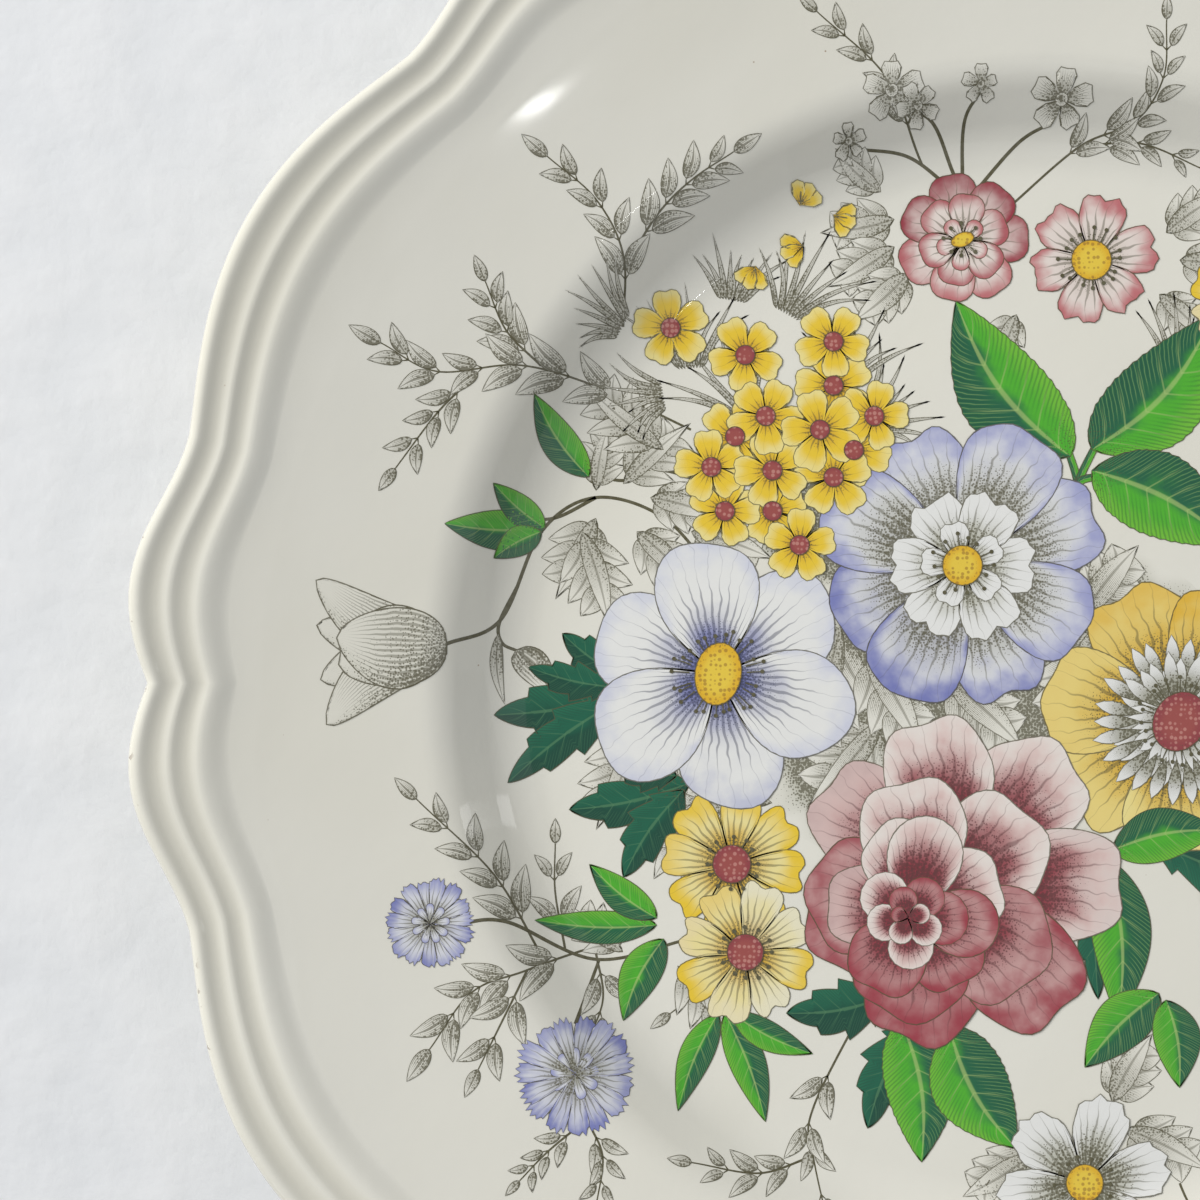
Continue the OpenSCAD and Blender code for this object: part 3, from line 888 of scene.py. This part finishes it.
ground.fire("dotted_ground", SEPIA_GROUND, "sepia_print", "sepia_print")
stems.fire("stems", SEPIA_INK, "sepia_print", "sepia_print")
broad_leaves.fire("broad_printed_leaves", BROAD_LEAF, "sepia_print", "sepia_print")
printed_leaves.fire("printed_leaves", SEPIA_LEAF, "sepia_print", "sepia_print")
printed_flowers.fire("printed_flowers", SEPIA_PETAL, "sepia_print", "sepia_print")
tulip.fire("printed_tulip", TULIP_PETAL, "sepia_print", "sepia_print")

# %% [markdown]
# ## Green leaves
#
# The green was washed over the print by hand, bright on one half of a leaf and dark on the other.
# A lobed leaf is several toothed blades that share a root.

# %% Leaves
GREEN_LEAF = leaf_paint("leaf green", (0.080, 0.46, 0.022, 1), (0.010, 0.130, 0.055, 1),
                        glow=(0.30, 0.66, 0.05, 1), vein=(0.45, 0.62, 0.20, 1))
DARK_LEAF = leaf_paint("bottle green leaf", (0.006, 0.125, 0.065, 1), (0.003, 0.070, 0.040, 1),
                       glow=(0.020, 0.20, 0.10, 1), vein=(0.10, 0.26, 0.12, 1))
green_leaves, dark_leaves = Sheet(0.068), Sheet(0.062)

BRIGHT = [
    (4, 33, -13, 56, 14, 2.5), (7, 34, 25, 54, 14, -2.5), (7, 31, 28, 20, 13, 1.5),
    (-67, 30, -75, 42, 5.5, 0.8), (-73.5, 22.5, -88, 23, 6, 0.6), (-73.5, 22.5, -81, 29, 4.5, 0.4),
    (-74, 22, -81, 18, 4.5, -0.4), (-57, -36, -75, -35, 5, 0.8), (-57, -35, -67, -27, 5, 0.6),
    (-56, -38, -62, -50, 6, -0.8), (-48, -49, -54, -63, 5, -0.6), (-47, -49, -41, -65, 5.5, 0.6),
    (-46, -49, -34, -55, 4.5, -0.6), (-21, -50, -18, -71, 11, 1.5), (-14, -51, -4, -69, 12, -1.5),
    (9, -26, 11, -50, 9, 1.5), (17, -46, 6, -57, 8, -0.8), (18, -47, 20, -60, 7, 0.8),
    (10, -25, 26, -22, 8, 1), (30, -27, 40, -34, 9, 1), (40, 8, 58, 15, 10, 1.2),
    (42, 6, 60, 0, 9, -1), (56, -22, 72, -28, 9, 1), (50, -50, 62, -64, 9, 1),
    (62, 32, 77, 27, 9, 1), (56, 46, 66, 60, 9, -1), (34, 44, 44, 56, 9, 1),
]
DARK = [
    (-60, -1, -81, -5, 10, 1), (-60, 0, -71, 7, 7, 0.8), (-61, -2, -79, -15, 8, -0.8),
    (-63, -1, -76, 2, 6, 0.5), (-52, -15, -70, -19, 9, 0.8), (-53, -16, -62, -29, 8, -0.8),
    (-54, -14, -64, -12, 6, 0.5), (-22, -46, -38, -49, 9, 1), (-18, -50, -26, -66, 9, -1.2),
    (10, -25, 8, -47, 7, -1.2), (16, -24, 34, -33, 8, 0.8),
    (44, -30, 56, -22, 8, 0.8), (36, -48, 34, -62, 8, 1), (60, 8, 74, 10, 8, 0.8),
    (44, 22, 40, 40, 8, -1),
]
for x, y in [(3.4, 34.5), (7.8, 35), (8.2, 30.2)]:
    green_leaves.patch(stem([(4.6, 24), (5, 29), (x, y)], 1.4, 0.2), 3, 12, line=0.22)
for x0, y0, x1, y1, width, bow in BRIGHT:
    bite = 0.05 if width > 10 else 0.0
    shape = leaf((x0, y0), (x1, y1), width, bow, belly=0.8, teeth=15, bite=bite)
    green_leaves.patch(shape, 10, 45, line=0.24)
for x0, y0, x1, y1, width, bow in DARK:
    shape = leaf((x0, y0), (x1, y1), width * 1.1, bow, belly=0.85, teeth=4, bite=0.36)
    dark_leaves.patch(shape, 10, 48, line=0.24)
green_leaves.fire("green_leaves", GREEN_LEAF, "green_enamel", "green_enamel")
dark_leaves.fire("dark_leaves", DARK_LEAF, "green_enamel", "green_enamel")

# %% [markdown]
# ## Flowers in rings of petals
#
# Most of the flowers are rings of petals round a heart. Every second petal goes down first and
# the others overlap it, as they do on a real flower. Petals of one flower differ a little in
# length and aim, or the ring looks stamped.


# %% A ring of petals
def ring(sheet, at, count, length, spread, turn=0.0, tone=0.5, line=0.3, fine=20, **shape):
    """Petals round a point: lengths in millimetres, spread and turn in degrees."""
    order = list(range(0, count, 2)) + list(range(1, count, 2))
    for i in order:
        aim = math.radians(turn + 360 * i / count) + random.uniform(-0.05, 0.05)
        reach = length * random.uniform(0.93, 1.03)
        phase = random.uniform(0, 6)
        place = petal(at, aim, reach, math.radians(spread), phase=phase, **shape)
        depth = tone(aim) if callable(tone) else tone
        sheet.patch(place, fine, 7, line=line, tone=depth)


PALE_YELLOW, YELLOW = (0.90, 0.77, 0.30, 1), (0.88, 0.61, 0.035, 1)
DEEP_YELLOW = (0.80, 0.47, 0.02, 1)
LAVENDER, DEEP_LAVENDER = (0.35, 0.37, 0.64, 1), (0.18, 0.20, 0.50, 1)
WHITE, COOL_WHITE = (0.86, 0.86, 0.83, 1), (0.66, 0.68, 0.80, 1)
ROSE, DEEP_ROSE = (0.56, 0.17, 0.18, 1), (0.33, 0.035, 0.055, 1)
CRIMSON = (0.30, 0.05, 0.06, 1)

# %% Yellow flowers
YELLOW_PETAL = petal_paint("primrose yellow", DEEP_YELLOW, YELLOW, PALE_YELLOW, rim_from=0.62,
                           shade=0.7, shade_from=0.15, shade_reach=0.6, lines=7, line_reach=0.6)
DAISY_PETAL = petal_paint("daisy yellow", DEEP_YELLOW, (0.90, 0.78, 0.34, 1), YELLOW, rim_from=0.60,
                          shade=0.8, shade_from=0.2, shade_reach=0.65, lines=9, line_reach=0.95,
                          deep=(0.88, 0.83, 0.60, 1))
POPPY_PETAL = petal_paint("poppy yellow", DEEP_YELLOW, (0.88, 0.70, 0.22, 1), PALE_YELLOW,
                          rim_from=0.66, shade=0.85, shade_from=0.4, shade_reach=0.85, lines=17,
                          line_reach=0.95, deep=DEEP_YELLOW)

PRIMROSES = [
    (-31, 43.5), (-40, 25), (-45.5, 36), (-28, 34), (-55, 52), (-44, 48), (-31, 50), (-47, 25),
    (-36, 20), (-49, 31.5), (-31, 30), (-40, 31), (-25, 39), (-41, 39), (-33, 37),
]
DAISIES = [(-46, -27, 11.5, 0.45), (-44, -40, 11, 1.0), (30, 56, 9, 0.6)]
BUDS = [(-42.5, 61, 250), (-36, 70, 60), (-31, 68.5, 340), (-35.5, 64, 200)]
primroses, daisies, poppies = Sheet(0.118, 90), Sheet(0.075), Sheet(0.075)
for x, y in PRIMROSES:
    ring(primroses, (x, y), 5, random.uniform(5.8, 6.7), 41, turn=random.uniform(0, 72), notch=0.12,
         full=2.2, line=0.22, fine=14)
for x, y, turn in BUDS:
    for lean in (-38, 38, 0):
        shape = petal((x, y), math.radians(turn + lean), 3.6, math.radians(34))
        primroses.patch(shape, 6, 4, line=0.2)
for x, y, radius, palest in DAISIES:
    ring(daisies, (x, y), 8, radius, 27, turn=random.uniform(0, 40), notch=0.13, full=2.8,
         frill=0.02, frills=3, line=0.26, fine=24, tone=lambda aim: random.uniform(0, palest))
ring(poppies, (20, -6), 7, 21.5, 38, turn=12, tone=lambda aim: random.uniform(0, 0.9), notch=0.04,
     frill=0.03, frills=3, full=2.6, line=0.32, fine=32)
daisies.fire("daisies", DAISY_PETAL, "yellow_enamel", "yellow_enamel")
poppies.fire("poppy", POPPY_PETAL, "yellow_enamel", "yellow_enamel")

# %% White flowers
ANEMONE_PETAL = petal_paint("white anemone", DEEP_LAVENDER, WHITE, COOL_WHITE, rim_from=0.75,
                            shade=0.9, shade_from=0.12, shade_reach=0.6, lines=21, line_reach=0.8,
                            ink=(0.05, 0.055, 0.11, 1), deep=(0.42, 0.44, 0.62, 1))
WHITE_PETAL = petal_paint("white petal", (0.62, 0.62, 0.52, 1), WHITE, WHITE, shade=0.95,
                          shade_from=0.3, shade_reach=0.85, lines=13, line_reach=0.95)
anemone, white_flowers = Sheet(0.092), Sheet(0.135)
ring(anemone, (-48, 1), 6, 20.5, 46, turn=38, tone=lambda aim: 0.15 - 0.35 * math.sin(aim),
     full=2.1, frill=0.025, frills=2, line=0.3, fine=32)
anemone.fire("white_anemone", ANEMONE_PETAL, "white_enamel", "white_enamel")

# %% Lavender anemone and cornflowers
LAVENDER_PETAL = petal_paint("lavender petal", (0.66, 0.66, 0.60, 1), (0.80, 0.81, 0.84, 1),
                             LAVENDER, rim_from=0.70, shade=0.95, shade_from=0.42,
                             shade_reach=0.9, lines=17, line_reach=0.95, deep=DEEP_LAVENDER)
CORNFLOWER = petal_paint("cornflower blue", (0.55, 0.55, 0.50, 1), (0.74, 0.75, 0.80, 1), LAVENDER,
                         rim_from=0.66, shade=0.8, shade_from=0.2, shade_reach=0.7, lines=5,
                         line_reach=0.9, deep=DEEP_LAVENDER)
lavender, cornflowers = Sheet(0.105), Sheet(0.07, 30)
ring(lavender, (-12, 17), 8, 22.5, 34, turn=20, tone=lambda aim: 0.3 - 0.4 * math.cos(aim - 0.9),
     notch=0.05, frill=0.02, frills=3, full=2.5, fine=32)
ring(lavender, (50, 34), 8, 13, 29, turn=5, notch=0.06, full=2.8)
for x, y, radius in [(-90, -35, 6.5), (-69, -57, 8.5), (84, -14, 6.5)]:
    ring(cornflowers, (x, y), 15, radius, 15, turn=random.uniform(0, 30), full=4, frill=0.06,
         frills=5, line=0.18, fine=14, tone=lambda aim: random.uniform(0, 0.7))
    ring(cornflowers, (x, y), 9, radius * 0.45, 22, turn=10, full=2.5, line=0.18, tone=0)
lavender.fire("lavender_anemone", LAVENDER_PETAL, "blue_enamel", "blue_enamel")
cornflowers.fire("cornflowers", CORNFLOWER, "blue_enamel", "blue_enamel")

ring(white_flowers, (-12, 17), 6, 12, 38, turn=0, notch=0.12, frill=0.03, full=2.6, line=0.28)
ring(white_flowers, (-12, 17), 5, 7, 36, turn=30, notch=0.1, full=2.2, line=0.24, fine=12)
ring(white_flowers, (6, -74), 6, 13, 34, turn=15, frill=0.04, full=2.4, line=0.28)
ring(white_flowers, (58, -8), 6, 12, 34, turn=0, frill=0.03, full=2.4, line=0.28)
POPPY, FRINGE, LAP_STEP = Vector((20, -6)), 26, 2.6
for lap in range(3):
    # A fringe of narrow white blades stands round the poppy's heart in three laps
    for i in range(FRINGE):
        aim = math.radians(360 * i / FRINGE + lap * 5) + random.uniform(-0.05, 0.05)
        reach = 12.6 - LAP_STEP * lap + random.uniform(-0.6, 0.6)
        root = POPPY + toward(aim, 5.5 - LAP_STEP * lap)
        shape = leaf(root, POPPY + toward(aim, reach), 2.1, 0.1, belly=1.3)
        white_flowers.patch(shape, 4, 6, line=0.2)
white_flowers.fire("white_flowers", WHITE_PETAL, "white_enamel", "white_enamel")

# %% [markdown]
# ## The rose
#
# A garden rose is petals within petals, and its heart sits low to one side because the flower
# leans. The outer petals grow from the middle of the flower and the inner ones from nearer and
# nearer the heart. Tone says how deep the pink is: pale at the top, where the light falls, and
# deep towards the bottom.

# %% Pink flowers
ROSE_PETAL = petal_paint("rose pink", DEEP_ROSE, (0.78, 0.56, 0.52, 1), (0.86, 0.79, 0.73, 1),
                         rim_from=0.68, shade=1.0, shade_from=0.50, shade_reach=0.92, lines=21,
                         line_reach=1.0, ink=(0.12, 0.035, 0.035, 1), deep=(0.36, 0.045, 0.065, 1))
SMALL_PINK = petal_paint("small pink", (0.80, 0.70, 0.62, 1), (0.84, 0.74, 0.68, 1), ROSE,
                         rim_from=0.66, shade=0.8, shade_from=0.15, shade_reach=0.7, lines=9,
                         line_reach=0.9, deep=DEEP_ROSE)
rose, small_pinks = Sheet(0.16), Sheet(0.10)


def rose_bloom(sheet, middle, heart, radius, turn=0.0):
    """Rings of petals that close in from the middle of the flower to its heart."""
    middle, heart = Vector(middle), Vector(heart)
    rings = [(7, 1.0, 38, 0.0), (5, 0.76, 52, 0.5), (5, 0.55, 54, 0.9)]
    for count, share, spread, lean in rings:
        ring(sheet, middle.lerp(heart, lean), count, radius * share, spread, turn=turn + 47 * share,
             tone=lambda aim: 0.5 - 0.6 * math.sin(aim + 0.4) + random.uniform(-0.25, 0.25),
             frill=0.03, frills=3, full=2.3, fine=36)
    for share, swing, spread, tone in [(0.62, 75, 44, 0.05), (0.54, -5, 46, 0.75)]:
        # Two petals stand up behind the heart and fold over it
        aim = math.radians(turn + swing)
        shape = petal(heart, aim, radius * share, math.radians(spread), full=2.0)
        sheet.patch(shape, 26, 7, line=0.3, tone=tone)
    for i in range(10):
        # A turn of 2.4 radians, the golden angle, keeps the last small petals from lining up
        reach = radius * (0.36 - 0.028 * i)
        shape = petal(heart, math.radians(turn) + 2.4 * i, reach, math.radians(56), full=2.0)
        sheet.patch(shape, 16, 6, line=0.2, tone=0.15 + 0.75 * (i % 3 == 0))


rose_bloom(rose, (-13, -29), (-20, -35), 25)
rose_bloom(rose, (44, -42), (42, -45), 13, turn=60)
ring(small_pinks, (-12, 65), 7, 10, 38, turn=0, notch=0.04, line=0.26,
     tone=lambda aim: 0.6 + 0.45 * math.sin(aim))
ring(small_pinks, (-12, 65), 6, 7.2, 42, turn=20, notch=0.04, line=0.24, tone=0.45)
ring(small_pinks, (-12, 64.5), 5, 4.2, 36, turn=50, line=0.22, tone=0.2, fine=12)
ring(small_pinks, (7, 62), 6, 10.2, 36, turn=15, notch=0.12, frill=0.03, line=0.26, tone=0.2)
rose.fire("rose", ROSE_PETAL, "pink_enamel", "pink_enamel")
small_pinks.fire("small_pink_flowers", SMALL_PINK, "pink_enamel", "pink_enamel")

# %% [markdown]
# ## Hearts and stamens
#
# A heart is a small disc of thick colour with seeds in it, and round it stand the stamens, which
# are only printed: a thread and a dot each.


# %% Hearts
def heart_paint(name, colour, rim, seed):
    pot = Pot(name)
    across, along = across_and_along(pot)
    wash = pot.mix(pot.ramp(along, 0.45, 0.95), colour, rim)
    seeds = pot.ramp(pot.cells(pot.place(), 1.4, 0.4), 0.50, 0.34)
    wash = pot.mix(seeds * 0.6, wash, seed)
    wash = pot.mix(stipple(pot, pot.ramp(along, 0.3, 1.0) * 0.5) * 0.5, wash, INK)
    wash = pot.mix(outline(pot) * 0.85, wash, INK)
    return glazed(pot, wash)


YELLOW_HEART = heart_paint(
    "yellow heart", (0.86, 0.62, 0.06, 1), DEEP_YELLOW, seed=(0.30, 0.13, 0.02, 1)
)
CRIMSON_HEART = heart_paint(
    "crimson heart", (0.36, 0.08, 0.07, 1), CRIMSON, seed=(0.66, 0.32, 0.27, 1)
)
threads, yellow_hearts, crimson_hearts = Sheet(0.215, 20), Sheet(0.24, 20), Sheet(0.24, 20)


def heart(sheet, x, y, radius, squash=1.0, turn=0.0, stamens=0, reach=1.6):
    at = Vector((x, y))
    for i in range(stamens):
        aim = 2 * math.pi * i / stamens + random.uniform(-0.1, 0.1)
        end = at + toward(aim, radius * reach * random.uniform(0.85, 1.1))
        threads.patch(stem([at + toward(aim, radius * 0.9), end], 0.22), 1, 2, line=0)
        threads.patch(disc(end, 0.32), 8, 1, line=0)
    sheet.patch(disc((x, y), radius, squash, math.radians(turn)), 24, 3, line=0.26)


heart(yellow_hearts, -12, 17, 3.0, stamens=14, reach=1.45)
heart(yellow_hearts, -48, 1, 4.7, 0.74, 80, stamens=26, reach=1.35)
heart(yellow_hearts, 7, 62, 3.0, stamens=16, reach=1.5)
heart(yellow_hearts, -12, 65, 1.8, 0.6, 20, stamens=8, reach=1.5)
heart(yellow_hearts, 6, -74, 2.8, stamens=14, reach=1.5)
heart(yellow_hearts, 58, -8, 2.8, stamens=14, reach=1.5)
heart(yellow_hearts, 50, 34, 2.4, stamens=12, reach=1.5)
heart(crimson_hearts, 20, -6, 4.6, 0.85, 60, stamens=24, reach=1.3)
for x, y, radius, _ in DAISIES:
    heart(crimson_hearts, x, y, radius * 0.25, stamens=12, reach=1.4)
primroses.fire("primroses", YELLOW_PETAL, "yellow_enamel", "yellow_enamel")
for x, y in PRIMROSES:
    heart(crimson_hearts, x, y, 1.5)
threads.fire("stamens", SEPIA_INK, "sepia_print", "sepia_print")
yellow_hearts.fire("yellow_hearts", YELLOW_HEART, "yellow_enamel", "yellow_enamel")
crimson_hearts.fire("crimson_hearts", CRIMSON_HEART, "crimson_enamel", "crimson_enamel")


# %% [markdown]
# ## Floor, light and camera
#
# The plate lies on a plain pale floor. One large soft light stands to the left, as a window
# would, and a weak one opposite keeps the far wall from going grey. A mirror image of the window
# would wash the flowers out from the side, so it lights the glaze without showing in it, and
# small panes make the glints instead. The camera looks straight down past the middle of the
# plate, so that the left of the border and most of the bouquet fill its view.

# %% Floor
bpy.ops.mesh.primitive_plane_add(size=6, location=(0, 0, 0))
floor = bpy.context.object
floor.name = "floor"
pot = Pot("pale floor")
mottle = pot.cloud(pot.place(), 0.08, 6.0)
floor_colour = pot.mix(pot.ramp(mottle, 0.3, 0.7), (0.80, 0.815, 0.835, 1), (0.84, 0.85, 0.865, 1))
floor_paint = pot.glossy(floor_colour, roughness=0.9, coat=0.0, bump=mottle, bump_mm=0.6)
floor.data.materials.append(floor_paint)


# %% Light
def soft_light(name, place, size, watts, colour, mirrored=True, lights=True):
    data = bpy.data.lights.new(name, "AREA")
    data.shape, data.size, data.size_y = "RECTANGLE", size[0], size[1]
    data.energy, data.color = watts, colour
    lamp = bpy.data.objects.new(name, data)
    lamp.location = place
    lamp.visible_glossy, lamp.visible_diffuse = mirrored, lights
    aim = Vector((0, 0, 0)) - Vector(place)
    lamp.rotation_euler = aim.to_track_quat("-Z", "Y").to_euler()
    bpy.context.scene.collection.objects.link(lamp)


soft_light("window", (-1.35, 0.89, 1.12), (1.4, 1.4), 39.5, (1.0, 0.99, 0.97), mirrored=False)
soft_light("far_fill", (0.9, -0.5, 1.1), (1.6, 1.6), 2.4, (0.97, 0.98, 1.0))
soft_light("roof_pane", (0.32, -0.18, 1.5), (0.006, 0.018), 0.012, (1.0, 1.0, 1.0), lights=False)
soft_light("side_pane", (1.4, 0.25, 0.75), (0.07, 0.50), 0.26, (1.0, 1.0, 1.0), lights=False)
soft_light("back_pane", (-1.2, -1.2, 0.8), (0.18, 0.50), 0.35, (1.0, 1.0, 1.0), lights=False)
world = bpy.data.worlds.new("studio")
world.use_nodes = True
sky = world.node_tree.nodes["Background"].inputs
sky["Color"].default_value, sky["Strength"].default_value = (0.93, 0.96, 1.0, 1), 0.315
bpy.context.scene.world = world
bpy.context.scene.view_settings.view_transform = "Standard"

# %% Camera
LENS, SENSOR = 110.0, 36.0
VIEW_WIDTH, VIEW_CENTRE, VIEW_PLANE = 174.4, (-65.4, 11.9), 15.0
camera_data = bpy.data.cameras.new("camera")
camera_data.lens, camera_data.sensor_width = LENS, SENSOR
camera = bpy.data.objects.new("camera", camera_data)
reach = VIEW_WIDTH * LENS / SENSOR
camera.location = (VIEW_CENTRE[0] * MM, VIEW_CENTRE[1] * MM, (VIEW_PLANE + reach) * MM)
camera_data.clip_start = 0.01
bpy.context.scene.collection.objects.link(camera)
bpy.context.scene.camera = camera
print("the camera stands", round(reach), "mm above the plane that it frames")
